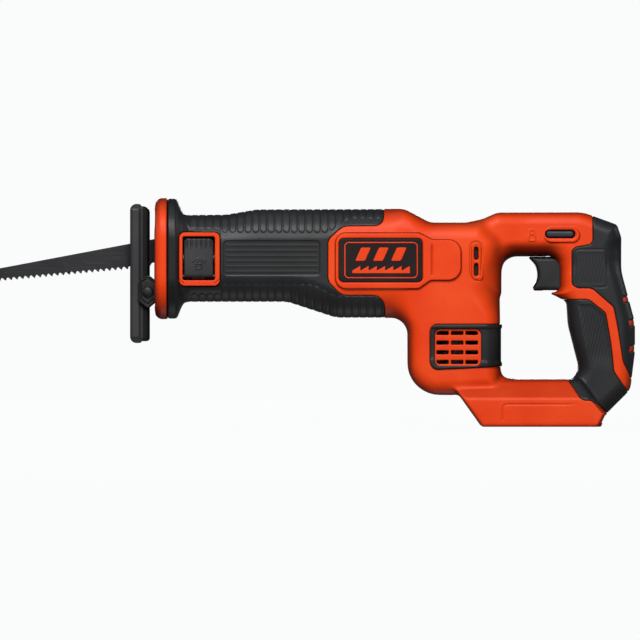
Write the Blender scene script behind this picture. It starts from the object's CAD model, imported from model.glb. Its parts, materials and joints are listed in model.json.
# Cordless reciprocating saw, standing on its battery foot at z = 0.
# The blade points to -X, the handle is at +X, and y = 0 is the mid-plane between the two
# housing halves; the tool's left side is -Y. Mouldings are signed distance fields in
# millimetres (negative inside), turned into meshes in metres.
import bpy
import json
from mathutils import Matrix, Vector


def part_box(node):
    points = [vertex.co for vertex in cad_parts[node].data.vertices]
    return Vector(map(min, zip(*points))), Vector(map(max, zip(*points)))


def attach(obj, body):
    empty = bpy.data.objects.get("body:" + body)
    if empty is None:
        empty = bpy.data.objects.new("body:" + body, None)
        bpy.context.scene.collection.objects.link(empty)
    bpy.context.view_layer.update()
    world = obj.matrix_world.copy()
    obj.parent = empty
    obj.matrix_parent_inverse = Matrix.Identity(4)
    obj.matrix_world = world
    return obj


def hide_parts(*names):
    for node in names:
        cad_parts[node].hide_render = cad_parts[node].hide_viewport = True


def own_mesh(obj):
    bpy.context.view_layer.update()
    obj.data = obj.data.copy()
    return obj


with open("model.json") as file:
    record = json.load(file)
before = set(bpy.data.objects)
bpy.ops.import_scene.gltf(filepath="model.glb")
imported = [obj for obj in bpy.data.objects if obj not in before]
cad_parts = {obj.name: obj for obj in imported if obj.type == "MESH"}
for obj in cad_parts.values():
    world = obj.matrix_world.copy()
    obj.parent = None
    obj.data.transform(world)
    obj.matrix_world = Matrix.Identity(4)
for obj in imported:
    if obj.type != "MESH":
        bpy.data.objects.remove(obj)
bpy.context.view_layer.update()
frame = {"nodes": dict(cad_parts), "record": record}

import copy
import functools
import json
import math

import bmesh
import bpy
import numpy as np
import openvdb as vdb
from mathutils import Vector

F = np.float32
MM = 0.001
VOXEL = 0.5      # voxel of the big mouldings, mm

# ------------------------------------------------------------------ shared sizes, mm
RAM_Z = 122.5                           # height of the barrel's axis
CASE_HALF = 30.8                        # half widths
HANDLE_HALF = 20.4
FOOT_HALF = 37.5
BARREL_HALF, BARREL_EDGE = 30.5, 21.5   # half width and edge rounding
PARTING = 0.12                          # each half stops this far from the mid-plane
PIN_X, PIN_Z = -287.3, 98.3             # pivot of the shoe
HINGE_Y, HINGE_Z = -27.8, 109.6         # hinge of the blade lever
LEVER_WINDOW = (-261.8, -238.6, 106.7, 138.3)   # x0, x1, z0, z1
GRILLE_X, GRILLE_Z = 10.55, 7.05        # pitches of the vent slots
SCREWS = [(-238, 97), (-190, 151), (-126, 151.5), (-121, 87), (-90.5, 42.5), (-46, 140.5),
          (-12, 146), (49, 141), (48, 92), (59, 60), (52, 24)]      # x, z


# ------------------------------------------------------------------ distance fields
def ease(a, b, x):
    """Smooth step from 0 at a to 1 at b."""
    t = np.clip((x - a) / (b - a), 0, 1)
    return t * t * (3 - 2 * t)


def soft_min(a, b, width):
    h = np.maximum(width - np.abs(a - b), 0) / width
    return np.minimum(a, b) - h * h * (width * 0.25)


def soft_max(a, b, width):
    h = np.maximum(width - np.abs(a - b), 0) / width
    return np.maximum(a, b) + h * h * (width * 0.25)


def union(*fields):
    return functools.reduce(np.minimum, fields)


def overlap(*fields):
    return functools.reduce(np.maximum, fields)


def slab(values, low, high):
    return np.maximum(low - values, values - high)


def stroke(field, half):
    """Line of the given half width along the edge of field."""
    return np.abs(field) - half


def across(side):
    """A side-view field, ready to be combined with the Y axis."""
    return side[:, None, :]


def relief(field, height, start=-0.35, end=0.35):
    """height where field is negative, fading out over start..end."""
    return height * (1 - ease(start, end, field))


def round_corner(a, b, radius):
    outer = np.hypot(np.maximum(a, 0), np.maximum(b, 0))
    return np.minimum(np.maximum(a, b), 0) + outer - radius


def rect(u, v, u0, u1, v0, v1, radius):
    return round_corner(np.abs(u - (u0 + u1) / 2) - (u1 - u0) / 2 + radius,
                        np.abs(v - (v0 + v1) / 2) - (v1 - v0) / 2 + radius, radius)


def rounded(corners):
    """Closed outline from corners (x, z, radius)."""
    points = []
    count = len(corners)
    for i in range(count):
        corner = np.array(corners[i][:2], float)
        radius = corners[i][2]
        back = np.array(corners[i - 1][:2], float) - corner
        ahead = np.array(corners[(i + 1) % count][:2], float) - corner
        back /= np.linalg.norm(back)
        ahead /= np.linalg.norm(ahead)
        angle = math.acos(max(-1, min(1, float(back @ ahead))))
        if radius < 0.05 or angle > math.radians(179):
            points.append(tuple(corner))
            continue
        half = angle / 2
        bisector = back + ahead
        centre = corner + bisector / np.linalg.norm(bisector) * radius / math.sin(half)
        start = corner + back * radius / math.tan(half)
        end = corner + ahead * radius / math.tan(half)
        a0 = math.atan2(*(start - centre)[::-1])
        a1 = math.atan2(*(end - centre)[::-1])
        sweep = (a1 - a0 + math.pi) % (2 * math.pi) - math.pi
        steps = max(1, math.ceil(abs(sweep) / math.radians(10)))
        for j in range(steps + 1):
            a = a0 + sweep * j / steps
            points.append(tuple(centre + radius * np.array([math.cos(a), math.sin(a)])))
    return points


def polygon(points, x, z):
    """Signed distance to a closed outline."""
    points = np.asarray(points, float)
    squared = np.full(x.shape, 1e9, F)
    inside = np.zeros(x.shape, bool)
    for (ax, az), (bx, bz) in zip(points, np.roll(points, -1, 0)):
        ex, ez = bx - ax, bz - az
        length2 = ex * ex + ez * ez
        if length2 < 1e-9:
            continue
        wx, wz = x - F(ax), z - F(az)
        t = np.clip((wx * F(ex) + wz * F(ez)) * F(1 / length2), 0, 1)
        dx, dz = wx - t * F(ex), wz - t * F(ez)
        np.minimum(squared, dx * dx + dz * dz, out=squared)
        if abs(ez) > 1e-9:
            inside ^= ((az > z) != (bz > z)) & (x < F(ex / ez) * (z - F(az)) + F(ax))
    distance = np.sqrt(squared)
    return np.where(inside, -distance, distance).astype(F)


def extrude(side, half, edge, y):
    """Side-view field given a half width along Y and rounded edges.

    half and edge may vary over the side view.
    """
    a = across(np.asarray(side + edge, F))
    limit = np.asarray(half - edge, F)
    b = y[None, :, None] - (across(limit) if limit.ndim == 2 else limit)
    edge = np.asarray(edge, F)
    edge = across(edge) if edge.ndim == 2 else edge
    outer = np.sqrt(np.maximum(a, 0) ** 2 + np.maximum(b, 0) ** 2)
    return np.minimum(np.maximum(a, b), 0) + outer - edge


class Grid:
    """Sample points of a field: x, y, z in 1-D, X, Y, Z for 3-D, side_x, side_z for side views."""

    def __init__(self, x0, x1, y0, y1, z0, z1, step):
        self.step = step
        self.x = np.arange(x0, x1 + step, step, dtype=F)
        self.y = np.arange(y0, y1 + step, step, dtype=F)
        self.z = np.arange(z0, z1 + step, step, dtype=F)
        self.side_x, self.side_z = np.meshgrid(self.x, self.z, indexing="ij")
        self.X = self.x[:, None, None]
        self.Y = self.y[None, :, None]
        self.Z = self.z[None, None, :]
        self.origin = np.array([self.x[0], self.y[0], self.z[0]], float)

    def from_x(self, first):
        """This grid with its origin moved to x sample number first."""
        part = copy.copy(self)
        part.origin = np.array([self.x[first], *self.origin[1:]], float)
        return part

    # Side-view fields
    def outline(self, points):
        return polygon(points, self.side_x, self.side_z)

    def rect(self, x0, x1, z0, z1, radius):
        return rect(self.side_x, self.side_z, x0, x1, z0, z1, radius)

    def away(self, x, z):
        """Distance from a point."""
        return np.hypot(self.side_x - x, self.side_z - z)

    def bar(self, x0, z0, x1, z1):
        """Distance from a line segment."""
        ex, ez = x1 - x0, z1 - z0
        t = ((self.side_x - x0) * ex + (self.side_z - z0) * ez) / (ex * ex + ez * ez)
        t = np.clip(t, 0, 1)
        return np.hypot(self.side_x - x0 - t * ex, self.side_z - z0 - t * ez)

    # Three-dimensional fields
    def nose(self, half, half_height, radius):
        """Rounded rectangle round the barrel's axis, seen from the nose."""
        return rect(self.Y, self.Z - RAM_Z, -half, half, -half_height, half_height, radius)

    def block(self, x0, x1, half, z0, z1):
        return overlap(slab(self.X, x0, x1), self.Y - half, slab(self.Z, z0, z1))


# ------------------------------------------------------------------ meshes
def onto_surface(points, field):
    """Move points, in grid steps, onto the zero of the field by two Newton steps."""
    def mix(a, b, t):
        return a + (b - a) * t

    limit = np.array(field.shape) - 1.001
    for _ in range(2):
        points = np.clip(points, 0, limit)
        i = points.astype(int)
        tx, ty, tz = (points - i).T
        v = [[[field[i[:, 0] + a, i[:, 1] + b, i[:, 2] + c] for c in (0, 1)]
              for b in (0, 1)] for a in (0, 1)]
        v00, v01 = mix(v[0][0][0], v[1][0][0], tx), mix(v[0][0][1], v[1][0][1], tx)
        v10, v11 = mix(v[0][1][0], v[1][1][0], tx), mix(v[0][1][1], v[1][1][1], tx)
        value = mix(mix(v00, v10, ty), mix(v01, v11, ty), tz)
        slope_x = mix(mix(v[1][0][0] - v[0][0][0], v[1][1][0] - v[0][1][0], ty),
                      mix(v[1][0][1] - v[0][0][1], v[1][1][1] - v[0][1][1], ty), tz)
        slope_y = mix(v10 - v00, v11 - v01, tz)
        slope_z = mix(v01, v11, ty) - mix(v00, v10, ty)
        slope = np.stack([slope_x, slope_y, slope_z], 1)
        move = slope * (value / ((slope * slope).sum(1) + 1e-9))[:, None]
        size = np.linalg.norm(move, axis=1)
        move *= np.minimum(1, 0.45 / np.maximum(size, 1e-9))[:, None]
        points = points - move
    return points


def mesh_object(name, points, loops, sizes):
    mesh = bpy.data.meshes.new(name)
    mesh.vertices.add(len(points))
    mesh.vertices.foreach_set("co", np.asarray(points, F).ravel())
    mesh.loops.add(len(loops))
    mesh.loops.foreach_set("vertex_index", np.asarray(loops, np.int32))
    mesh.polygons.add(len(sizes))
    starts = np.concatenate([[0], np.cumsum(sizes)[:-1]]).astype(np.int32)
    mesh.polygons.foreach_set("loop_start", starts)
    mesh.update(calc_edges=True)
    mesh.validate()
    mesh.shade_smooth()
    ob = bpy.data.objects.new(name, mesh)
    bpy.context.scene.collection.objects.link(ob)
    return ob


def solid(name, field, grid, left=False):
    """Closed mesh where the field is negative; left mirrors it to the -Y side."""
    cap = F(4 * grid.step)
    field = np.clip(np.asarray(field, F), -cap, cap)
    for wall in (field[0], field[-1], field[:, 0], field[:, -1], field[:, :, 0], field[:, :, -1]):
        np.maximum(wall, F(0.3 * grid.step), out=wall)      # closes the mesh at the grid's ends
    volume = vdb.FloatGrid(background=float(cap))
    volume.copyFromArray(np.ascontiguousarray(field))
    points, tri, quad = volume.convertToPolygons(isovalue=0.0, adaptivity=0.0)
    points = onto_surface(np.asarray(points, float), field)
    points = points * grid.step + grid.origin
    if left:
        points[:, 1] *= -1
    tri = np.asarray(tri, np.int64).reshape(-1, 3)
    quad = np.asarray(quad, np.int64).reshape(-1, 4)
    faces = np.concatenate([tri, quad[:, [0, 1, 2]], quad[:, [0, 2, 3]]])
    a, b, c = points[faces[:, 0]], points[faces[:, 1]], points[faces[:, 2]]
    if (a * np.cross(b, c)).sum() < 0:      # negative volume: the faces look inwards
        tri, quad = tri[:, ::-1], quad[:, ::-1]
    loops = np.concatenate([tri.ravel(), quad.ravel()])
    sizes = np.concatenate([np.full(len(tri), 3), np.full(len(quad), 4)])
    return mesh_object(name, points * MM, loops, sizes)


def add_bevel(ob, name, width, angle):
    bevel = ob.modifiers.new(name, "BEVEL")
    bevel.width = width
    bevel.segments = 1
    bevel.limit_method = "ANGLE"
    bevel.angle_limit = math.radians(angle)


# ------------------------------------------------------------------ materials, in metres
MATERIALS = {}


def srgb(r, g, b):
    def linear(c):
        return c / 12.92 if c <= 0.04045 else ((c + 0.055) / 1.055) ** 2.4
    return (linear(r / 255), linear(g / 255), linear(b / 255), 1)


def grey(value):
    return (value, value, value, 1)


def scaled(color, factor):
    return tuple(min(1, c * factor) for c in color[:3]) + (1,)


class Material:
    """A Principled material being built; a value may be a constant or a node's output."""

    def __init__(self, name):
        self.name = name
        self.material = bpy.data.materials.new(name)
        self.material.use_nodes = True
        self.nodes = self.material.node_tree.nodes
        self.links = self.material.node_tree.links
        self.surface = self.nodes["Principled BSDF"]
        self.coords = self.add("ShaderNodeTexCoord").outputs["Object"]

    def feed(self, socket, value):
        if isinstance(value, bpy.types.NodeSocket):
            self.links.new(value, socket)
        else:
            socket.default_value = value

    def add(self, kind, inputs=None, **settings):
        node = self.nodes.new(kind)
        for key, value in settings.items():
            setattr(node, key, value)
        for key, value in (inputs or {}).items():
            self.feed(node.inputs[key], value)
        return node

    def noise(self, scale, detail=3, rough=0.5, stretch=None):
        coords = self.coords
        if stretch:
            mapping = self.add("ShaderNodeMapping", {"Scale": stretch, "Vector": coords})
            coords = mapping.outputs["Vector"]
        return self.add("ShaderNodeTexNoise", {"Scale": scale, "Detail": detail,
                                               "Roughness": rough, "Vector": coords}).outputs["Fac"]

    def ramp(self, factor, stops):
        node = self.add("ShaderNodeValToRGB", {"Fac": factor})
        elements = node.color_ramp.elements
        while len(elements) < len(stops):
            elements.new(0.5)
        for element, (position, color) in zip(elements, stops):
            element.position = position
            element.color = color
        return node.outputs["Color"]

    def calc(self, operation, *values, clamp=False):
        return self.add("ShaderNodeMath", dict(enumerate(values)),
                        operation=operation, use_clamp=clamp).outputs[0]

    def times(self, a, b, clamp=False):
        return self.calc("MULTIPLY", a, b, clamp=clamp)

    def weighted(self, a, weight_a, b, weight_b):
        return self.calc("ADD", self.times(a, weight_a), self.times(b, weight_b))

    def above(self, value, threshold):
        return self.calc("GREATER_THAN", value, threshold)

    def mix(self, factor, a, b, mode="MIX"):
        return self.add("ShaderNodeMix", {"Factor": factor, 6: a, 7: b},
                        data_type="RGBA", blend_type=mode).outputs[2]

    def axes(self, vector):
        return self.add("ShaderNodeSeparateXYZ", {0: vector}).outputs

    def geometry(self, output):
        return self.add("ShaderNodeNewGeometry").outputs[output]

    def between(self, value, low, high, fade):
        """1 between low and high, fading to 0 over fade inside each end."""
        rise = self.times(self.calc("SUBTRACT", value, low), 1 / fade, clamp=True)
        fall = self.times(self.calc("SUBTRACT", high, value), 1 / fade, clamp=True)
        return self.times(rise, fall)

    def stripes(self, value, period):
        return self.calc("SINE", self.times(value, 2 * math.pi / period))

    def worn_edges(self, start, end, scale, detail, threshold):
        """Patchy mask along convex edges; start and end are pointiness."""
        edges = self.ramp(self.geometry("Pointiness"), [(start, grey(0)), (end, grey(1))])
        return self.times(edges, self.above(self.noise(scale, detail), threshold))

    def bump(self, height, strength, distance, normal=None):
        inputs = {"Strength": strength, "Distance": distance, "Height": height}
        if normal is not None:
            inputs["Normal"] = normal
        return self.add("ShaderNodeBump", inputs).outputs["Normal"]

    def rough_range(self, factor, low, high):
        return self.add("ShaderNodeMapRange", {
            "From Min": 0.3, "From Max": 0.7, "To Min": low, "To Max": high,
            "Value": factor}).outputs["Result"]

    def turned(self, color, stops):
        """Deepen the colour where the surface turns away; stops are (facing, brightness)."""
        facing = self.add("ShaderNodeLayerWeight", {"Blend": 0.5}).outputs["Facing"]
        shade = self.ramp(facing, [(position, grey(value)) for position, value in stops])
        return self.mix(1.0, color, shade, "MULTIPLY")

    def finish(self, color, rough, normal=None, metallic=0.0, **inputs):
        inputs = {"Base_Color": color, "Roughness": rough, "Metallic": metallic, **inputs}
        if normal is not None:
            inputs["Normal"] = normal
        for key, value in inputs.items():
            self.feed(self.surface.inputs[key.replace("_", " ")], value)
        MATERIALS[self.name] = self.material


def plastic(name, base, dark, light, rough, grain=1400, depth=0.00003, edge_wear=0.0,
            specular=0.3, dark_roof=False):
    """Grained plastic; grain is the texture's scale and depth its height."""
    m = Material(name)
    base, dark, light = srgb(*base), srgb(*dark), srgb(*light)
    big = m.noise(28)
    fine = m.noise(grain, 2)
    color = m.ramp(big, [(0.3, dark), (0.5, base), (0.72, light)])
    specks = m.above(m.noise(grain * 1.7, 1), 0.68)
    color = m.mix(m.times(specks, 0.10), color, light)
    if edge_wear:
        worn = m.worn_edges(start=0.50, end=0.58, scale=300, detail=4, threshold=0.5)
        color = m.mix(m.times(worn, edge_wear), color, light)
    cells = m.add("ShaderNodeTexVoronoi", {"Scale": grain, "Vector": m.coords})
    height = m.weighted(cells.outputs["Distance"], 0.6, fine, 0.5)
    normal = m.bump(height, strength=0.35, distance=depth)
    roughness = m.rough_range(m.weighted(fine, 0.5, big, 0.5), rough - 0.06, rough + 0.08)
    if dark_roof:       # downward faces above the hand opening
        place = m.axes(m.coords)
        facing = m.axes(m.geometry("Normal"))
        down = m.times(m.calc("SUBTRACT", -0.3, facing[2]), 1.9, clamp=True)
        roof = m.times(m.between(place[0], low=-0.036, high=0.022, fade=0.006),
                       m.between(place[2], low=0.108, high=0.136, fade=0.005))
        color = m.mix(m.times(m.times(down, roof), 0.85), color, srgb(60, 14, 4))
    color = m.turned(color, [(0.0, 1.0), (0.1, 0.94), (0.3, 0.66), (0.55, 0.40), (0.8, 0.2),
                             (1.0, 0.1)])
    m.finish(color, roughness, normal, Coat_Weight=0.0, Coat_Roughness=0.35,
             Specular_IOR_Level=specular)


def steel(name, base, rough, stretch=(1, 60, 60)):
    """Bare steel with streaks; stretch scales the streak noise along x, y, z."""
    m = Material(name)
    streak = m.noise(40, 4, 0.6, stretch)
    patches = m.noise(55, 4)
    color = m.ramp(patches, [(0.25, scaled(base, 0.75)), (0.6, base), (0.9, scaled(base, 1.15))])
    grain = m.bump(m.noise(900), strength=0.08, distance=0.00003)
    normal = m.bump(streak, strength=0.12, distance=0.00004, normal=grain)
    roughness = m.rough_range(m.weighted(streak, 0.6, patches, 0.4), rough - 0.08, rough + 0.12)
    m.finish(color, roughness, normal, metallic=1.0)


def cast(name, base, rough, metallic=1.0):
    """Rough cast or pressed surface."""
    m = Material(name)
    big, fine = m.noise(60, 4), m.noise(1100, 4)
    color = m.ramp(big, [(0.3, scaled(base, 0.75)), (0.7, base)])
    m.finish(color, m.rough_range(fine, rough - 0.1, rough + 0.15),
             m.bump(fine, strength=0.35, distance=0.00006), metallic)


def coated(name, dark, light, dark_hem=False):
    """Black-coated steel; dark_hem darkens it behind the sole of the shoe."""
    m = Material(name)
    big, fine = m.noise(40, 4), m.noise(1300)
    worn = m.worn_edges(start=0.515, end=0.6, scale=420, detail=5, threshold=0.52)
    color = m.ramp(big, [(0.3, dark), (0.7, light)])
    color = m.mix(m.times(worn, 0.35), color, srgb(104, 104, 108))
    if dark_hem:
        hem = m.times(m.calc("ADD", m.axes(m.coords)[0], 0.2917), 900.0, clamp=True)
        color = m.mix(hem, color, srgb(16, 16, 17))
    color = m.turned(color, [(0.0, 1.0), (0.2, 0.9), (0.5, 0.6), (1.0, 0.3)])
    m.finish(color, m.rough_range(fine, 0.36, 0.52),
             m.bump(fine, strength=0.3, distance=0.00005), metallic=0.25, Specular_IOR_Level=0.3)


def layered(name, period, scale, dark, light, rough, depth):
    """Metal with fine layers along Z: wire turns or stacked sheets."""
    m = Material(name)
    layers = m.stripes(m.axes(m.coords)[2], period)
    color = m.ramp(m.noise(scale), [(0.3, dark), (0.7, light)])
    m.finish(color, rough, m.bump(layers, strength=0.5, distance=depth), metallic=0.9)


def grip_rubber():
    m = Material("grip_rubber")
    big, fine = m.noise(35), m.noise(1700)
    color = m.ramp(big, [(0.3, srgb(31, 32, 34)), (0.7, srgb(39, 40, 42))])
    specks = m.above(m.noise(2600, 1), 0.7)
    color = m.mix(m.times(specks, 0.2), color, srgb(64, 64, 66))
    color = m.turned(color, [(0.0, 1.0), (0.25, 0.93), (0.5, 0.8), (0.8, 0.6), (1.0, 0.4)])
    x, y, z = m.axes(m.coords)
    # Palm ribs that follow the handle's lean. The |y| limit is wider than the tool,
    # so the mask is 0 everywhere on it.
    lean = m.calc("ADD", x, m.times(z, 0.16))
    wave = m.stripes(lean, 0.0021)
    mask = m.times(m.between(lean, low=0.0292, high=0.0525, fade=0.002),
                   m.between(z, low=0.045, high=0.0885, fade=0.003))
    mask = m.times(mask, m.above(m.calc("ABSOLUTE", y), 0.5))
    grain = m.bump(fine, strength=0.4, distance=0.00004)
    normal = m.bump(m.times(wave, mask), strength=0.55, distance=0.00035, normal=grain)
    # Darker lip at the rim of the front flange
    lip = m.times(m.calc("SUBTRACT", -0.2663, x), 800.0, clamp=True)
    color = m.mix(lip, color, srgb(20, 21, 23))
    # Slightly darker side panel of the barrel
    panel = m.times(m.between(x, low=-0.2315, high=-0.1625, fade=0.002),
                    m.between(z, low=0.1102, high=0.1352, fade=0.002))
    color = m.mix(m.times(panel, 0.3), color, srgb(14, 15, 16))
    m.finish(color, m.rough_range(fine, 0.38, 0.5), normal, Specular_IOR_Level=0.3)


def blade_steel():
    m = Material("blade_steel")
    streak = m.noise(50, 4, 0.6, (1.0, 40, 40))
    color = m.ramp(m.noise(45, 4), [(0.3, srgb(40, 40, 44)), (0.7, srgb(49, 49, 53))])
    color = m.mix(m.times(m.above(streak, 0.62), 0.3), color, srgb(82, 82, 88))
    m.finish(color, m.rough_range(streak, 0.34, 0.5),
             m.bump(streak, strength=0.12, distance=0.00004), metallic=0.55)


plastic("orange_plastic", base=(239, 68, 17), dark=(232, 61, 13), light=(245, 78, 26),
        rough=0.42, edge_wear=0.15, specular=0.17, dark_roof=True)
plastic("black_plastic", base=(36, 36, 38), dark=(28, 28, 30), light=(50, 50, 52),
        rough=0.40, edge_wear=0.4, specular=0.24)
plastic("button_plastic", base=(44, 52, 58), dark=(38, 46, 52), light=(54, 62, 70), rough=0.4)
plastic("lever_plastic", base=(47, 47, 49), dark=(40, 40, 42), light=(60, 60, 62),
        rough=0.42, edge_wear=0.3, specular=0.24)
plastic("nameplate_plastic", base=(33, 22, 22), dark=(27, 18, 18), light=(42, 30, 30),
        rough=0.45, grain=1900, depth=0.00002, specular=0.15)
plastic("dark_plastic", base=(14, 13, 13), dark=(10, 9, 9), light=(20, 19, 19), rough=0.6)
plastic("seal_rubber", base=(30, 30, 31), dark=(22, 22, 23), light=(40, 40, 41), rough=0.6)
grip_rubber()
coated("coated_steel", dark=srgb(34, 34, 36), light=srgb(48, 48, 50))
coated("shoe_steel", dark=srgb(52, 52, 54), light=srgb(62, 62, 64), dark_hem=True)
blade_steel()
steel("tooth_steel", srgb(120, 120, 126), rough=0.3)
steel("steel", srgb(186, 188, 192), rough=0.26)
steel("screw_steel", srgb(70, 70, 74), rough=0.36, stretch=(1, 1, 1))
steel("gear_steel", srgb(132, 132, 138), rough=0.32, stretch=(30, 30, 1))
cast("bronze", srgb(186, 140, 84), rough=0.38)
cast("cast_alloy", srgb(178, 180, 184), rough=0.48)
cast("magnet", srgb(66, 66, 70), rough=0.6, metallic=0.3)
cast("carbon", srgb(40, 40, 42), rough=0.55, metallic=0.2)
layered("copper", period=0.0007, scale=70, dark=srgb(158, 78, 40), light=srgb(200, 112, 62),
        rough=0.3, depth=0.0002)
layered("laminations", period=0.0009, scale=90, dark=srgb(84, 84, 90),
        light=srgb(118, 118, 124), rough=0.42, depth=0.00015)
plastic("wire_red", base=(150, 24, 20), dark=(130, 18, 16), light=(180, 40, 34),
        rough=0.4, depth=0.00002)
MATERIALS["wire_insulation"] = MATERIALS["wire_red"]


def paint(ob, material):
    ob.data.materials.clear()
    ob.data.materials.append(MATERIALS[material])


def finish_cad_pieces():
    slots = {part["node"]: part["material_slot"] for part in frame["record"]["subparts"]}
    slots.update(lever_pin="screw_steel", shoe_pin_clips="screw_steel")
    for name, ob in frame["nodes"].items():
        paint(ob, slots[name])
        ob.data.shade_smooth()
        add_bevel(ob, "soft", width=0.00018, angle=40)
        ob.modifiers.new("normals", "WEIGHTED_NORMAL")


def piece(ob, body, slot, *replaced, material=None):
    """Paint a new object, tie it to a moving body and name the pieces it stands for."""
    paint(ob, material or slot)
    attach(ob, body)
    if replaced:
        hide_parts(*replaced)


def pair(name, field, grid, slot, replaced=None, material=None):
    """The same housing piece on the left and on the right."""
    for side in ("left", "right"):
        names = [replaced + side] if replaced else []
        ob = solid(name + side, field, grid, left=side == "left")
        piece(ob, "housing", slot, *names, material=material)


# ------------------------------------------------------------------ outlines: (x, z, corner radius)
# Gear case with the motor leg below it
CASE = rounded([
    [-208, 158.8, 3], [-101, 158.8, 15], [-82, 148.7, 14], [-44, 148.7, 10], [-31, 136, 14],
    [-31, 26, 6], [-66, 23, 6], [-98, 23.4, 23], [-98.2, 79.2, 12], [-150.5, 79.2, 22],
    [-186, 91, 22], [-208, 91, 2]])
# Bridge over the hand opening, and the handle
HANDLE = rounded([
    [-72, 118, 2], [-53, 147.2, 3], [-33, 156, 12], [29.6, 156.2, 26], [54.4, 147.2, 4],
    [57.7, 137.7, 9], [57.7, 113, 25], [67.6, 76, 30], [67.6, 54.5, 40], [64.2, 26.8, 12],
    [47, 9.6, 3], [20, 9.6, 3], [21.5, 34.5, 7], [27, 43, 8], [19, 74.2, 30], [17.9, 91, 4],
    [10.6, 95, 2], [4.6, 97.6, 0.8], [12.8, 98.4, 5], [12.8, 124.1, 11], [-31, 124.1, 13],
    [-31, 97, 1], [-46, 97, 3], [-72, 100, 5]])
FOOT = rounded([
    [-66, 30, 2], [-58, 19.5, 6], [-44.2, 0.1, 2], [42.2, 0.1, 1.2], [46.6, 9.2, 2],
    [40, 17, 5], [27, 34.6, 4], [-31, 34.6, 3], [-40, 50, 2], [-66, 50, 2]])
BARREL = rounded([
    [-266, 154.2, 0], [-231, 154.6, 25], [-208, 158.4, 25], [-90, 158.7, 0], [-90, 79.4, 0],
    [-150.5, 79.4, 22], [-186, 91, 22], [-266, 91, 0]])
# Region behind the barrel's rubber, where the orange body shows
SHOWN = rounded([
    [-115.5, 175, 0], [-115.5, 146.2, 7], [-145, 146, 11], [-156.2, 136, 8], [-156.2, 106, 8],
    [-146.5, 95.6, 11], [-115, 95.6, 9], [-115, 70, 0], [-114, -10, 0], [90, -10, 0],
    [90, 175, 0]])
# Regions of the handle covered by rubber
UPPER_GRIP = rounded([
    [36.5, 170, 0], [36.5, 133, 4], [24, 130.8, 3], [21.2, 128, 2], [21.2, 103, 4],
    [26, 100.8, 3], [36, 100.8, 8], [51.8, 87, 6], [55, 70, 20], [58.6, 47, 10], [66, 33, 2],
    [80, 30, 0], [80, 170, 0]])
LOWER_GRIP = rounded([
    [10, 92.8, 0], [33.5, 92.8, 6], [46, 83, 6], [50, 60, 20], [52, 40, 8], [62.4, 25.4, 1],
    [70, 22, 0], [60, 0, 0], [47, 10, 0], [41, 16, 6], [34, 19.2, 6], [28, 19.2, 6],
    [19, 33.2, 1.5], [15, 42, 0]])
# Raised panel on the side of the gear case
PANEL = rounded([
    [-151.2, 141.4, 8], [-90.2, 141.4, 6], [-80.6, 136.4, 6], [-59.2, 136.4, 9.5],
    [-59.2, 106.2, 9.5], [-81.6, 106.2, 5], [-90.2, 100, 6], [-151.2, 100, 8]])
BAND = rounded([[-82.3, 41.4, 6], [-20, 44.4, 0], [-20, 74.7, 0], [-82.3, 74.6, 6]])
TRIGGER = rounded([
    [-10.5, 123.9, 0.8], [-4.3, 117.5, 10], [-2.8, 108.5, 12], [-6.8, 101.8, 2],
    [-5.8, 99.1, 1.4], [15.4, 99.1, 0.8], [15.4, 123.9, 0.8]])
SHOE_FRONT = rounded([[-300.4, 60.9, 4.6], [-292.6, 60.9, 1.2], [-292.6, 162.3, 1.2],
                      [-300.4, 162.3, 4.6]])
SHOE_REAR = rounded([
    [-294, 62.2, 1], [-286.5, 62.2, 2.4], [-286.5, 92, 2], [-283.7, 94.5, 3.2],
    [-283.7, 102.1, 3.2], [-286.5, 105, 2], [-286.5, 160.6, 4.5], [-294, 160.6, 1]])
YOKE_EAR = rounded([
    [-287.5, 110.8, 2], [-281.0, 105.4, 2.5], [-281.0, 91.6, 2.5], [-287.5, 86.2, 2],
    [-294.4, 91.6, 2.5], [-294.4, 105.4, 2.5]])


# ------------------------------------------------------------------ outside of the body
def gear_case(grid):
    x, z = grid.side_x, grid.side_z
    half = CASE_HALF + relief(grid.outline(PANEL), 2.15, -0.95, 0.35)
    half -= relief(grid.rect(-148.6, -87.4, 105.0, 137.2, 3.8), 1.3, -0.3, 0.2)     # label recess
    half -= relief(grid.bar(-80.7, 110.8, -80.7, 131.6) - 0.55, 0.8, -0.3, 0.35)    # groove
    pill = grid.bar(-48.5, 110.6, -48.5, 130.2)         # raised ring in a groove, round the slots
    half += relief(stroke(pill - 2.75, 0.5), 0.55, -0.35, 0.4)
    half -= relief(stroke(pill - 4.3, 0.45), 0.7, -0.3, 0.4)
    half -= relief(grid.rect(-78.3, -45.2, 44.5, 70.8, 4.2), 0.5)                   # vent field
    rear = ease(-114, -94, x)
    edge = 24 - (4 + 7.5 * rear) * ease(96, 136, z) - 13 * rear * (1 - ease(76, 100, z))
    return extrude(grid.outline(CASE), half, edge, grid.y)


def handle(grid):
    x, z = grid.side_x, grid.side_z
    half = HANDLE_HALF + 3.2 * (1 - ease(-42, -6, x))
    half += relief(grid.bar(6.6, 139.5, 21.6, 139.5) - 5.6, 1.25, -0.75, 0.35)      # button boss
    half -= relief(grid.bar(4.9, 140.3, 20.6, 140.3) - 3.9, 0.5, -0.3, 0.3)
    padlock = union(stroke(grid.rect(-10.2, -5.4, 135.4, 140.0, 1.0), 0.35),
                    overlap(stroke(grid.away(-7.8, 141.8) - 1.6, 0.35), 140.2 - z))
    half += relief(padlock, 0.6, -0.25, 0.3)
    edge = 11 + 4.0 * ease(108, 122, z) - 6.0 * ease(128, 144, z)
    return extrude(grid.outline(HANDLE), half, edge, grid.y)


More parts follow.
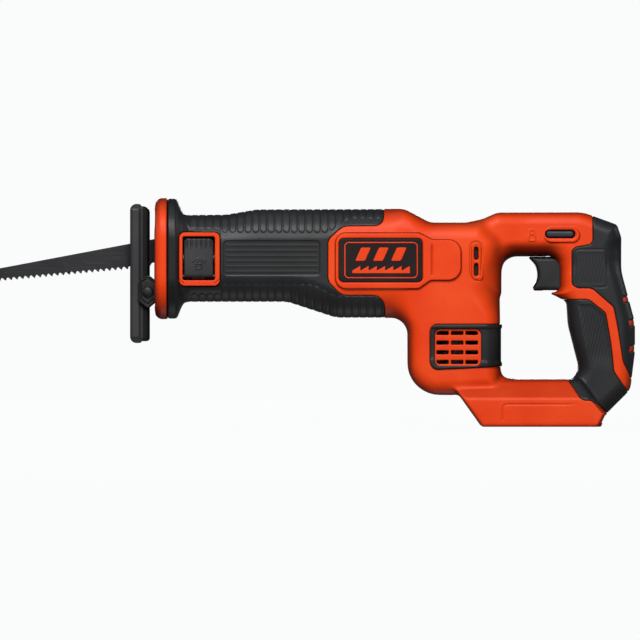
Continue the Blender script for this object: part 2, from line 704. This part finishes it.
def battery_foot(grid):
    x, y, z = grid.side_x, grid.Y, grid.side_z
    groove = relief(stroke(grid.rect(-29.4, 32, -6, 16.4, 3), 0.35), 0.55, -0.25, 0.4)
    groove = groove * (1 - ease(16, 24, x)) * ease(3.5, 6, z)
    side = y - FOOT_HALF + across(groove)
    end = np.where(z < 9.2, 42.2 + z * 0.478, 46.6 - (z - 9.2) * 0.846)
    chamfer = across((x - end + 3.6) * 0.78) + (y - FOOT_HALF) * 0.62
    side = soft_max(side, chamfer, 0.8)
    slope = ((y - FOOT_HALF) + (grid.Z - 20.7) * 1.03) / 1.436
    return soft_max(across(grid.outline(FOOT)), soft_max(side, slope, 1.2), 3.0)


def envelope(grid):
    """Outside of case, handle and foot, with the hand opening's lower front corner filled."""
    x, z = grid.side_x, grid.side_z
    fillet = overlap(9.3 - grid.away(-21.9, 43.7), -35 - x, 31 - z, z - 43.7, x + 21.9)
    shape = soft_min(gear_case(grid), handle(grid), 5.0)
    shape = soft_min(shape, battery_foot(grid), 3.0)
    return soft_min(shape, extrude(fillet, 23.0, 6.0, grid.y), 2.2)


def spine_gaps(grid):
    """Three gaps in the rubber at the back of the handle."""
    bars = union(grid.bar(50, 90.9, 64, 93.4), grid.bar(52, 73.3, 70, 76.6),
                 grid.bar(54, 54.9, 72, 57.9)) - 2.1
    front_limit = 57.6 - grid.side_x - np.where(grid.side_z > 84, -1.2, 4.0)
    return overlap(across(overlap(bars, front_limit)), grid.Y - 17.5)


def slot_pills(grid, half):
    """The two upright slots, one above the other, in the side of the case."""
    return union(grid.bar(-48.5, 111.2, -48.5, 117.6), grid.bar(-48.5, 122.9, -48.5, 129.5)) - half


def screw_distance(grid, screws):
    return union(*[grid.away(x, z) for x, z in screws])


def screw_wells(wells, radius, grid):
    return overlap(across(wells - radius), 11 - grid.Y)


# ------------------------------------------------------------------ housing halves
def openings(grid):
    """Battery dock, trigger slot, button holes, vents and side slots."""
    holes = grid.bar(4.7, 140.3, 20.7, 140.3) - 3.0
    grille = grid.rect(-77.7, -46.2, 45.2, 69.9, 4)
    for i in range(3):
        for j in range(4):
            slot = grid.rect(-77.3 + GRILLE_X * i, -68.5 + GRILLE_X * i,
                             45.75 + GRILLE_Z * j, 48.45 + GRILLE_Z * j, 0.4)
            holes = union(holes, overlap(slot, grille))
    return union(grid.block(-34, 60, 27, -99, 8.5),
                 grid.block(-34, 60, 33, 3, 8.5),
                 grid.block(-30, -4, 15, 8, 14),
                 grid.block(3, 21.8, 10, 98.6, 124.4),
                 overlap(across(holes), 12 - grid.Y),
                 overlap(across(slot_pills(grid, 1.45)), 26 - grid.Y))


def housing_halves(grid, outside, gaps, wells):
    y = grid.Y
    case = overlap(outside, across(grid.outline(SHOWN)))
    grips = across(union(grid.outline(UPPER_GRIP), grid.outline(LOWER_GRIP)))
    barrel = extrude(grid.outline(BARREL), BARREL_HALF, BARREL_EDGE, grid.y)
    core = overlap(barrel + 2.4, grid.X + 101, -273.2 - grid.X)     # under the barrel's rubber
    neck = overlap(grid.nose(25, 29, 17), slab(grid.X, -273.2, -254))
    bore = overlap(grid.nose(21.5, 25.5, 14), slab(grid.X, -280, -205))
    body = soft_max(outside, across(grid.outline(SHOWN)), 0.7)
    body = union(body, core, neck)
    # Room for the rear rubber, leaving the spine gaps standing
    skin = overlap(grips, -(outside + 2.4), -overlap(gaps, outside + 0.5))
    body = soft_max(body, -skin, 0.7)
    # Room for the vent band round its window
    band = overlap(across(grid.outline(BAND) - 0.05), -(outside + 0.9),
                   -across(grid.rect(-78.6, -45.0, 44.2, 71.1, 4.2)))
    body = soft_max(body, -band, 0.5)
    # Hollow inside, with backing kept behind the rubber and the side slots
    inner = union(case, core, neck) + 2.3
    inner = overlap(inner, -overlap(grips - 2, -(outside + 4.7)))
    body = overlap(body, -inner, -bore)
    body = union(body, overlap(across(grid.rect(-53.4, -43.6, 106.5, 134.2, 3)),
                               slab(y, 24.6, 30.2)))
    body = soft_max(body, -openings(grid), 0.5)
    body = soft_max(body, PARTING - y, 0.6)

    window = union(overlap(across(grid.rect(*LEVER_WINDOW, 2)), 18 - y),
                   overlap(across(grid.rect(-264.8, -234.6, 102.3, 141.7, 4.2)), 23.5 - y))
    left = overlap(body, -window)
    towers = overlap(across(wells - 5.4), union(case, core) + 0.8, slab(y, PARTING, 26))
    right = union(body, overlap(towers, -bore))
    right = soft_max(right, -screw_wells(wells, 3.95, grid), 0.5)
    right = overlap(right, -across(wells - 1.95))
    piece(solid("moulded_left_half", left, grid, left=True),
          "housing", "orange_plastic", "left_shell")
    piece(solid("moulded_right_half", right, grid), "housing", "orange_plastic", "right_shell")


def slot_inserts():
    grid = Grid(-52, -45, 25, 31, 108, 133, 0.3)
    insert = soft_max(across(slot_pills(grid, 1.4)), slab(grid.Y, 26.05, 27.6), 0.5)
    pair("slot_insert_", insert, grid, "black_plastic", material="dark_plastic")


# ------------------------------------------------------------------ rear over-mould
def palm_grips(grid, outside, gaps, wells):
    x, z = grid.side_x, grid.side_z
    upper, lower = grid.outline(UPPER_GRIP), grid.outline(LOWER_GRIP)
    ribs = 0.5 + 0.5 * np.cos(2 * math.pi * (x - 0.23 * z) / 2.25)
    palm = overlap(25.6 + (90.5 - z) * 0.184 - x, lower + 1.6, z - 89)
    pad = relief(palm, 0.34, -2.0, 0.2) * ribs + relief(palm, 0.25, -0.5, 0.2)
    pad = pad * ease(41, 55, z)
    border = stroke(grid.rect(24, 47, 101.5, 129, 2.5), 0.35)
    pad = pad + relief(border, 0.18, -0.25, 0.5) * (upper < -1.5)
    pad = pad + relief(grid.rect(25.5, 45.5, 103, 127.5, 2.5), 0.12, -2.0, 0.2) * ribs
    first, last = np.searchsorted(grid.x, [8, 70])
    part = slice(first, last)
    grip = soft_max(outside + across(pad), across(union(upper, lower) + 0.1), 0.9)
    grip = overlap(grip, -(outside + 2.3))[part]
    grip = soft_max(grip, -gaps[part], 0.8)
    grip = soft_max(grip, PARTING - grid.Y, 0.6)
    grip = overlap(grip, -grid.block(3, 21.8, 10, 98.6, 123.7)[part])
    grip_grid = grid.from_x(first)
    piece(solid("palm_grip_left", grip, grip_grid, left=True),
          "housing", "grip_rubber", "rear_grip_left")
    grip = soft_max(grip, -screw_wells(wells[part], 4.1, grid), 0.6)
    piece(solid("palm_grip_right", grip, grip_grid), "housing", "grip_rubber", "rear_grip_right")


def moulded_body():
    grid = Grid(-275.5, 69.5, -1.2, 39.0, -1.5, 160.5, VOXEL)
    outside = envelope(grid)
    gaps = spine_gaps(grid)
    wells = screw_distance(grid, SCREWS)
    housing_halves(grid, outside, gaps, wells)
    slot_inserts()
    palm_grips(grid, outside, gaps, wells)


# ------------------------------------------------------------------ front over-mould
FLARE_RISE = 12.9
# Front flange: x, and how far it stands above the barrel
FLARE = [(-268.6, FLARE_RISE), (-267.6, 12.8), (-266.6, 12.2), (-265.8, 10.9), (-265.0, 9.0),
         (-264.2, 6.8), (-263.4, 4.9), (-262.5, 3.2), (-261.5, 1.8), (-260.4, 0.8),
         (-258.5, -0.6), (-250, -6.0)]
RIB_PITCH = 5.585


def flange(grid):
    rise = np.interp(grid.x, *zip(*FLARE)).astype(F)[:, None, None]
    corner = 17 + 12.5 * np.clip(rise / FLARE_RISE, 0, 1)
    half_height, half = 30.9 + rise, 29.6 + rise * 0.53
    flare = round_corner(grid.Y - half + corner, np.abs(grid.Z - RAM_Z) - half_height + corner,
                         corner)
    return soft_max(flare * 0.6, slab(grid.X, -273.25, -252.5), 1.6)


def barrel_ribs(grid):
    """Depth left round the upright round-ended ribs above and below the side panel."""
    x, z = grid.side_x, grid.side_z
    offset = np.abs(((x + 116.6) % RIB_PITCH) - RIB_PITCH / 2)
    front = x < -234.5
    low_end = np.where(front, 144.6, 141.6) + 10.5 * ease(-159, -138, x)
    high_end = np.where(front, 97.0, 103.4) - 8.4 * ease(-170, -148, x)
    rib = np.hypot(offset, np.maximum(low_end + 2.1 - z, 0)) - 2.1
    upper = np.where(front, 0.38, 0.45) * ease(low_end - 5.5, low_end - 0.6, z)
    upper = upper * ease(-0.4, 0.7, rib)
    rib = np.hypot(offset, np.maximum(z - high_end + 2.3, 0)) - 2.25
    lower = 0.5 * (1 - ease(high_end - 1.5, high_end + 4.0, z)) * ease(-0.4, 0.7, rib)
    return across(np.where(z > 122, upper, lower) * ease(-258.5, -255, x))


def barrel_grips():
    grid = Grid(-275.5, -113.5, -1.2, 38.5, 76.5, 168.5, VOXEL * 0.85)
    X, y, z = grid.X, grid.Y, grid.side_z
    barrel = extrude(grid.outline(BARREL), BARREL_HALF, BARREL_EDGE, grid.y)
    # Sunk side panel with level ridges
    panel = grid.rect(-232.1, -162.1, 109.9, 135.4, 2.6)
    ridges = overlap(stroke(((z - 112.9 + 1.9) % 3.8) - 1.9, 0.5), panel + 1.6)
    inset = relief(panel, 0.45, -0.45, 0.2) - relief(ridges, 0.1, -0.4, 0.5)
    rubber = soft_min(barrel + barrel_ribs(grid) + (across(inset) * (y > 20)), flange(grid), 1.6)
    inner = overlap(barrel + 2.35, -273.6 - X)
    neck = overlap(grid.nose(25.05, 29.05, 17), X + 250)
    rubber = soft_max(rubber, across(0.1 - grid.outline(SHOWN)), 0.9)
    rubber = overlap(rubber, -inner, -neck)
    rubber = overlap(soft_max(rubber, PARTING - y, 0.6), -273.25 - X)
    window = overlap(across(grid.rect(-264.85, -234.55, 102.25, 141.75, 4.4)), 18 - y)
    piece(solid("barrel_grip_left", soft_max(rubber, -window, 0.6), grid, left=True),
          "housing", "grip_rubber", "front_grip_left")
    wells = screw_distance(grid, [screw for screw in SCREWS if screw[0] < -115])
    right = soft_max(rubber, -screw_wells(wells, 4.1, grid), 0.6)
    piece(solid("barrel_grip_right", right, grid), "housing", "grip_rubber", "front_grip_right")


# ------------------------------------------------------------------ nose ring and vent band
def nose_ring():
    grid = Grid(-284, -272, -38.5, 38.5, 77, 168, 0.5)
    depth = 4.9         # length of the rounding at the front
    t = np.clip((-277.6 - grid.X) / depth, 0, 1)
    inset = depth * (1 - np.sqrt(np.maximum(1 - t ** 1.5, 0)))
    corner = 29 - inset * 0.4
    ring = round_corner(np.abs(grid.Y) - 37 + inset + corner,
                        np.abs(grid.Z - RAM_Z) - 44.2 + inset + corner, corner)
    ring = soft_max(ring, slab(grid.X, -282.5, -273.4), 1.2)
    ring = soft_max(ring, -grid.nose(29, 34, 12), 1.4)
    piece(solid("front_collar", ring, grid), "housing", "orange_plastic", "nose_ring")


def vent_band():
    grid = Grid(-84, -28.5, -35, 35, 39.5, 77, 0.5)
    case = extrude(grid.outline(CASE), CASE_HALF, 11.0, np.abs(grid.y))
    from_edge = union(74.6 - grid.Z, grid.Z - 44.2 + (grid.X + 31) * 0.048)
    rim = (1 - ease(2.2, 3.6, from_edge)) * 0.75
    band = soft_max(case - 0.75 - rim, across(grid.outline(BAND) + 0.05), 1.0)
    band = soft_max(band, -across(grid.rect(-78.5, -45.1, 44.3, 71.0, 4.2)), 0.8)
    band = overlap(band, -(case + 0.85))
    piece(solid("vent_band", band, grid), "housing", "black_plastic", "motor_band")


# ------------------------------------------------------------------ lever, button, trigger
MARK = 0.28         # half width of engraved lines


def lever_frame():
    grid = Grid(-265.8, -233.8, -33.5, -22.5, 101.6, 142.6, 0.32)
    y = grid.Y
    border = overlap(across(grid.rect(-264.6, -234.8, 102.5, 141.5, 4.2)), slab(y, -32.0, -23.6))
    border = soft_max(border, -32.0 - y, 1.6)
    border = soft_max(border, -across(grid.rect(*LEVER_WINDOW, 1.3)), 1.0)
    notches = union(grid.bar(-265, 107.6, -261, 104.4), grid.bar(-234.4, 107.6, -238.4, 104.4))
    border = soft_max(border, -overlap(across(notches - MARK), y + 31.0), 0.3)
    piece(solid("lever_frame", border, grid), "housing", "orange_plastic", "lever_bezel")


def lever_symbol(grid):
    """Engraved padlock inside a half-round arrow."""
    z = grid.side_z
    shackle = overlap(stroke(grid.away(-249.6, 119.6) - 1.5, MARK), 118.6 - z)
    lock = stroke(grid.rect(-252.2, -248.2, 114.9, 118.6, 0.6), MARK)
    arc = overlap(stroke(grid.away(-250.2, 117.4) - 5.0, MARK), 119.6 - z)
    tip = union(grid.bar(-245.6, 119.4, -247.2, 121.0),
                grid.bar(-245.6, 119.4, -244.6, 121.4)) - MARK
    return union(shackle, lock, arc, tip)


def lever_paddle():
    grid = Grid(-262.5, -238, -34, -16.5, 105.5, 138.5, 0.3)
    x, z = grid.side_x, grid.side_z
    X, Y, Z = grid.X, grid.Y, grid.Z
    fins = stroke(((x + 250.2) % 3.5) - 1.75, 0.6)
    fins = overlap(fins, slab(z, 128.6, 136.0), np.abs(x + 250.2) - 9.9)
    face = -31.3 - relief(fins, 0.75, -0.3, 0.3) * ease(128.8, 134.5, z)
    face = face - relief(lever_symbol(grid), 0.45, -0.2, 0.3)
    plate = grid.rect(-260.9, -239.5, 108.0, 137.0, 2.6)
    lever = soft_max(across(plate), soft_max(across(face) - Y, Y + 28.7, 0.5), 1.2)
    from_hinge = np.hypot(Y - HINGE_Y, Z - HINGE_Z)
    knuckle = soft_max(from_hinge - 2.8, slab(X, -260.6, -239.8), 0.5)
    finger = soft_max(slab(X, -255, -246), slab(Z, HINGE_Z - 1.3, HINGE_Z + 1.3), 0.8)
    finger = soft_max(finger, slab(Y, HINGE_Y + 1, HINGE_Y + 10.4), 0.8)
    lever = soft_min(soft_min(lever, knuckle, 0.8), finger, 1.0)
    # Slanted lower edge, gaps for the two springs and the pin's hole
    lever = soft_max(lever, (109.9 - Z) * 0.64 - (Y + 30.9) * 0.77 - 0.42, 0.8)
    for x0, x1 in ((-262, -255.4), (-245.6, -238)):
        gap = overlap(slab(X, x0, x1), slab(Y, -30.6, HINGE_Y + 4),
                      slab(Z, HINGE_Z - 4, HINGE_Z + 4))
        lever = overlap(lever, -gap)
    lever = overlap(lever, 1.56 - from_hinge)
    piece(solid("blade_lever_paddle", lever, grid), "blade_lever", "black_plastic",
          "release_lever", material="lever_plastic")


def lock_button():
    grid = Grid(0.4, 25, -22.5, 22.5, 135.8, 144.8, 0.35)
    pill = grid.bar(4.8, 140.3, 20.6, 140.3)
    button = extrude(pill - 2.5, 21.1, 1.7, np.abs(grid.y))
    collars = overlap(across(pill - 3.3), slab(np.abs(grid.Y), 11.0, 14.0))
    button = soft_min(button, collars, 0.4)
    piece(solid("lock_off_bar", button, grid), "lock_button", "black_plastic", "lock_button",
          material="button_plastic")


def trigger():
    grid = Grid(-13, 23, -10.8, 10.8, 97.5, 124.8, 0.35)
    X, Y, Z = grid.X, grid.Y, grid.Z
    stem = soft_max(slab(X, 15, 21.6), slab(Y, -3, 3), 0.5)
    stem = soft_max(stem, slab(Z, 106, 112), 0.5)
    shape = union(extrude(grid.outline(TRIGGER), 9.5, 3.2, np.abs(grid.y)), stem)
    hollow = overlap(slab(X, 0.5, 13), np.abs(Y) - 7.2, Z - 112)
    spring_seat = overlap(np.hypot(Y, Z - 117) - 3.6, slab(X, 5, 20))
    shape = overlap(shape, -hollow, -spring_seat)
    piece(solid("trigger_shoe", shape, grid), "trigger", "black_plastic", "trigger")


# ------------------------------------------------------------------ shoe, its yoke and pin
def pin_hole(grid, radius):
    return radius - np.hypot(grid.X - PIN_X, grid.Z - PIN_Z)


def shoe():
    grid = Grid(-302, -281.5, -20.5, 20.5, 59, 164, 0.42)
    width = np.abs(grid.Y)
    front = extrude(grid.outline(SHOE_FRONT), 19, 2.4, np.abs(grid.y))
    rear_half = 17.6 - np.clip(grid.side_x + 292.6, 0, 7) * 0.25
    rear = extrude(grid.outline(SHOE_REAR), rear_half, 1.6, np.abs(grid.y))
    shape = soft_min(front, rear, 0.35)
    ends = overlap(64.8 - grid.Z, grid.Z - 158.6) * 0.9
    shape = soft_max(shape, (width - 19) * 0.78 + np.maximum(ends, -3), 1.0)
    hollow = overlap(across(grid.rect(-297.8, -270, 63.6, 159.4, 3)), width - 13.6)
    shape = soft_max(shape, -hollow, 0.8)
    # Blade opening, and the smaller one below it
    upper = rect(grid.Y, grid.Z, -6.5, 6.5, 103, 147, 6.4)
    shape = soft_max(shape, -overlap(upper, grid.X + 285), 1.2)
    lower = rect(grid.Y, grid.Z, -7, 7, 70, 90, 4)
    shape = soft_max(shape, -overlap(lower, grid.X + 285), 1.0)
    shape = overlap(shape, pin_hole(grid, 2.56))
    piece(solid("pivoting_shoe", shape, grid), "shoe", "coated_steel", "shoe",
          material="shoe_steel")


def shoe_yoke():
    """Plate across the nose with two arms that end in ears."""
    grid = Grid(-295, -272, -27.5, 27.5, 85, 158, 0.45)
    outline = grid.outline(YOKE_EAR)
    width = np.abs(grid.Y)
    groove = relief(stroke(outline + 1.9, 0.55), 1.0, -0.3, 0.4)
    ear = soft_max(across(outline), width - 23.1 + across(groove), 1.2)
    ear = soft_max(ear, 19.6 - width, 0.4)
    arm = soft_max(slab(grid.X, -284, -274), slab(width, 19.6, 23), 0.6)
    arm = soft_max(arm, slab(grid.Z, 92.4, 104.6), 1.0)
    plate = overlap(grid.nose(28.8, 33.8, 11.8), slab(grid.X, -275.3, -273.4))
    yoke = soft_min(union(ear, arm), plate, 0.8)
    yoke = overlap(yoke, -overlap(grid.nose(17, 19, 12), slab(grid.X, -290, -270)))
    yoke = overlap(yoke, pin_hole(grid, 2.53))
    piece(solid("shoe_yoke", yoke, grid), "housing", "coated_steel", "shoe_bracket")


# Shoe pin: radius, y; the head is at the left
PIN_PROFILE = [(0.01, -26.2), (1.6, -26.2), (3.0, -25.8), (3.8, -25.0), (4.1, -23.9),
               (4.1, -23.25), (2.5, -23.2), (2.5, 24.9), (2.1, 25.4), (0.01, 25.4)]


def shoe_pin():
    sides = 64
    points, loops = [], []
    for radius, y in PIN_PROFILE:
        for k in range(sides):
            a = 2 * math.pi * k / sides
            points.append([(radius * math.cos(a) + PIN_X) * MM, y * MM,
                           (radius * math.sin(a) + PIN_Z) * MM])
    bands = len(PIN_PROFILE) - 1
    for i in range(0, bands * sides, sides):
        for k in range(sides):
            after = (k + 1) % sides
            loops += [i + k, i + after, i + sides + after, i + sides + k]
    loops += list(range(sides))[::-1]
    loops += list(range(bands * sides, (bands + 1) * sides))
    ob = mesh_object("shoe_rivet", points, loops, [4] * (bands * sides) + [sides, sides])
    bm = bmesh.new()
    bm.from_mesh(ob.data)
    bmesh.ops.recalc_face_normals(bm, faces=bm.faces)
    bm.to_mesh(ob.data)
    bm.free()
    split = ob.modifiers.new("edge", "EDGE_SPLIT")
    split.split_angle = math.radians(35)
    piece(ob, "housing", "coated_steel", "shoe_pin")


# ------------------------------------------------------------------ springs
def coil(name, start, radius, wire, length, turns):
    """Spring along +X from start; its end turns lie flat. wire is the wire's radius."""
    around, per_turn = 14, 28
    count = int(turns * per_turn)
    s = np.linspace(0, 1, count + 1)
    angle = 2 * math.pi * turns * s
    rise = np.clip((s - 0.6 / turns) / (1 - 1.2 / turns), 0, 1)
    x = wire + (length - 2 * wire) * rise
    path = np.stack([x, radius * np.cos(angle), radius * np.sin(angle)], 1)
    tangent = np.gradient(path, axis=0)
    tangent /= np.linalg.norm(tangent, axis=1)[:, None]
    outward = np.stack([0 * angle, np.cos(angle), np.sin(angle)], 1)
    sideways = np.cross(tangent, outward)
    w = np.linspace(0, 2 * math.pi, around, endpoint=False)[None, :, None]
    section = np.cos(w) * outward[:, None] + np.sin(w) * sideways[:, None]
    points = (path[:, None] + wire * section).reshape(-1, 3)
    points = (points + np.array(start)) * MM
    i, j = np.meshgrid(np.arange(count), np.arange(around), indexing="ij")
    after = (j + 1) % around
    quads = np.stack([i * around + j, i * around + after, (i + 1) * around + after,
                      (i + 1) * around + j], -1).reshape(-1, 4)
    loops = list(quads.ravel()) + list(range(around - 1, -1, -1))
    loops += list(range(count * around, (count + 1) * around))
    return mesh_object(name, points, loops, [4] * len(quads) + [around, around])


def springs():
    spring = coil("trigger_return_spring", start=(5.1, 0, 117), radius=2.9, wire=0.45,
                  length=22.8, turns=8.5)
    piece(spring, "housing", "steel", "trigger_spring")
    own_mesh(spring)
    for k, (x, replaced) in enumerate([(-259.6, ["lever_spring"]), (-244.8, [])]):
        spring = coil("lever_torsion_spring_%d" % k, start=(x, HINGE_Y, HINGE_Z), radius=2.05,
                      wire=0.45, length=3.4, turns=3.2)
        piece(spring, "housing", "screw_steel", *replaced)
    spring = coil("clamp_return_spring", start=(-242.4, 0, RAM_Z), radius=11.3, wire=0.65,
                  length=3.4, turns=1.9)
    piece(spring, "reciprocator", "steel", "clamp_spring")


# ------------------------------------------------------------------ nameplates
def nameplates():
    grid = Grid(-149, -87, 29.9, 34.0, 104.6, 137.6, 0.35)
    plate = extrude(grid.rect(-148.3, -87.7, 105.3, 136.9, 3.4), 0.75, 0.3, np.abs(grid.y - 32.1))
    pair("label_plate_", plate, grid, "nameplate_plastic", replaced="nameplate_")


def devices():
    """Raised border line, saw-tooth row and three slanted bars on the nameplates."""
    grid = Grid(-146, -90, 32.2, 34.2, 106, 136, 0.3)
    x, z = grid.side_x, grid.side_z
    tooth = 3.4 * (((x + 138.7) / 6.0) % 1.0)
    teeth = overlap(111.6 - z, z - (113.6 + tooth), slab(x, -138.7, -96.7)) * 0.8
    slanted = x - (z - 125) * 0.45
    bars = [rect(slanted, z, centre - 3.6, centre + 3.6, 120.6, 130.4, 1.0)
            for centre in (-131, -118, -105)]
    border = stroke(grid.rect(-144.0, -91.4, 108.4, 134.0, 3.0), 0.45)
    device = overlap(across(union(teeth, *bars, border)), slab(grid.Y, 32.4, 33.15))
    pair("label_device_", device, grid, "orange_plastic")


# ------------------------------------------------------------------ blade
TOOTH_PITCH = 4.233
TOOTH_SET = 0.22
BLADE_HALF = 0.62       # half the thickness
# One tooth: x and z from its tip, and its share of the sideways set
TOOTH = [(0, 0, 1), (0.45, 1.5, 0), (1.0, 2.25, 0), (1.7, 2.3, 0), (3.2, 0.95, 0.5)]


def blade_outline(tip):
    """Outline as x, z and sideways shift; tip is the x of the blade's front end."""
    def back(x):
        return 136.8 + 0.189 * (min(x, -283) + 283)

    def edge(x):
        return 116.1 + 0.0932 * (x + 286.5)

    top = [(-246, 128.6), (-268.4, 128.6), (-270.4, 131), (-272, 136.2), (-273.2, 136.8),
           (-283, 136.8), (tip + 9, back(tip + 9)), (tip + 5, back(tip + 5) - 0.5),
           (tip + 1.6, back(tip + 3) - 2.2), (tip + 0.05, back(tip) - 5.0),
           (tip + 0.5, edge(tip) + 1.6), (tip + 2.2, edge(tip) + 0.2)]
    tang = [(-286.2, 116.9), (-284.9, 119.2), (-283.6, 119.6), (-272.6, 119.6),
            (-270.4, 118.6), (-268.6, 116.4), (-246, 116.4)]
    points = [(x, z, 0) for x, z in top]
    for i in range(int((-286.5 - (tip + 5)) / TOOTH_PITCH)):
        x = tip + 5 + i * TOOTH_PITCH
        shift = (-1, 1, 0)[i % 3] * TOOTH_SET
        points += [(x + dx, edge(x) + dz, shift * share) for dx, dz, share in TOOTH]
    return points + [(x, z, 0) for x, z in tang]


def blade():
    points = blade_outline(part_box("blade")[0].x * 1000)
    bm = bmesh.new()
    left, right = [[bm.verts.new((x * MM, (y + shift) * MM, z * MM)) for x, z, shift in points]
                   for y in (-BLADE_HALF, BLADE_HALF)]
    bm.faces.new(left)
    bm.faces.new(right[::-1])
    for i in range(len(points)):
        j = (i + 1) % len(points)
        bm.faces.new([left[j], left[i], right[i], right[j]])
    bmesh.ops.recalc_face_normals(bm, faces=bm.faces)
    bmesh.ops.triangulate(bm, faces=[face for face in bm.faces if len(face.verts) > 4])
    mesh = bpy.data.meshes.new("saw_blade")
    bm.to_mesh(mesh)
    bm.free()
    ob = bpy.data.objects.new("saw_blade", mesh)
    bpy.context.scene.collection.objects.link(ob)
    add_bevel(ob, "edges", width=0.0001, angle=50)
    piece(ob, "reciprocator", "blade_steel", "blade")


# ------------------------------------------------------------------ studio, in metres
# name, location, size, power; all aimed at the point in the third column
LIGHTS = [
    ("key", (-0.45, -1.35, 1.35), (-0.16, 0, 0.08), (1.1, 0.45), 28),
    ("front", (0.1, -2.2, 0.9), (-0.1, 0, 0.04), (0.9, 0.35), 16),
    ("top", (-0.3, -0.1, 1.5), (-0.16, 0, 0.08), (1.2, 0.3), 2),
    ("back", (-0.3, 2.2, 0.45), (-0.16, 0, 0.08), (0.9, 0.4), 14),
    ("side", (1.6, 0.3, 0.7), (0, 0, 0.08), (0.6, 0.6), 4),
    ("nose", (-1.9, 0.2, 0.6), (-0.3, 0, 0.12), (0.5, 0.5), 4),
    ("low", (-0.1, 0.4, -1.6), (-0.1, 0, 0.05), (0.8, 0.5), 3.5),
]


def floor():
    ob = mesh_object("studio_floor", [(-8, -12, 0), (8, -12, 0), (8, 12, 0), (-8, 12, 0)],
                     [0, 1, 2, 3], [4])
    m = Material("studio_paper")
    m.finish(m.ramp(m.noise(3, 2), [(0.3, grey(0.17)), (0.7, grey(0.19))]), rough=0.95)
    # The camera sees almost pure glow; other rays see grey paper
    glow = m.add("ShaderNodeEmission", {"Color": (0.99, 0.995, 1, 1), "Strength": 1.0})
    seen = m.add("ShaderNodeLightPath").outputs["Is Camera Ray"]
    paper = m.add("ShaderNodeMixShader", {0: m.times(seen, 0.97), 1: m.surface.outputs[0],
                                          2: glow.outputs[0]})
    # Clear from below, so that the underside can be seen
    clear = m.add("ShaderNodeBsdfTransparent")
    both = m.add("ShaderNodeMixShader", {0: m.geometry("Backfacing"), 1: paper.outputs[0],
                                         2: clear.outputs[0]})
    m.feed(m.nodes["Material Output"].inputs[0], both.outputs[0])
    paint(ob, "studio_paper")
    ob.visible_shadow = False


def sky():
    """Bright to the camera, dim as a light."""
    world = bpy.data.worlds.new("studio")
    bpy.context.scene.world = world
    world.use_nodes = True
    nodes, links = world.node_tree.nodes, world.node_tree.links
    dim = nodes["Background"]
    dim.inputs["Color"].default_value = (0.95, 0.97, 1.0, 1)
    dim.inputs["Strength"].default_value = 0.06
    bright = nodes.new("ShaderNodeBackground")
    bright.inputs["Color"].default_value = (0.96, 0.965, 0.97, 1)
    bright.inputs["Strength"].default_value = 1.0
    path, mix = nodes.new("ShaderNodeLightPath"), nodes.new("ShaderNodeMixShader")
    links.new(path.outputs["Is Camera Ray"], mix.inputs[0])
    links.new(dim.outputs[0], mix.inputs[1])
    links.new(bright.outputs[0], mix.inputs[2])
    links.new(mix.outputs[0], nodes["World Output"].inputs["Surface"])


def lights():
    for name, location, target, size, power in LIGHTS:
        light = bpy.data.lights.new(name, "AREA")
        light.shape = "RECTANGLE"
        light.size, light.size_y = size
        light.energy = power
        ob = bpy.data.objects.new(name, light)
        bpy.context.scene.collection.objects.link(ob)
        ob.location = location
        aim = Vector(target) - Vector(location)
        ob.rotation_euler = aim.to_track_quat("-Z", "Y").to_euler()


def camera():
    """Long lens looking along +Y at the left side."""
    scene = bpy.context.scene
    ob = bpy.data.objects.new("camera", bpy.data.cameras.new("camera"))
    scene.collection.objects.link(ob)
    ob.data.lens, ob.data.sensor_width = 500, 36
    ob.data.clip_start, ob.data.clip_end = 0.05, 50
    ob.location = (-0.16206, -6.49, 0.0777)
    ob.rotation_euler = (math.pi / 2, 0, 0)
    scene.camera = ob
    scene.view_settings.view_transform = "Standard"


# ------------------------------------------------------------------ build
for build in (finish_cad_pieces, moulded_body, barrel_grips, nose_ring, vent_band, lever_frame,
              lever_paddle, lock_button, trigger, shoe, shoe_yoke, shoe_pin, springs,
              nameplates, devices, blade, floor, sky, lights, camera):
    build()
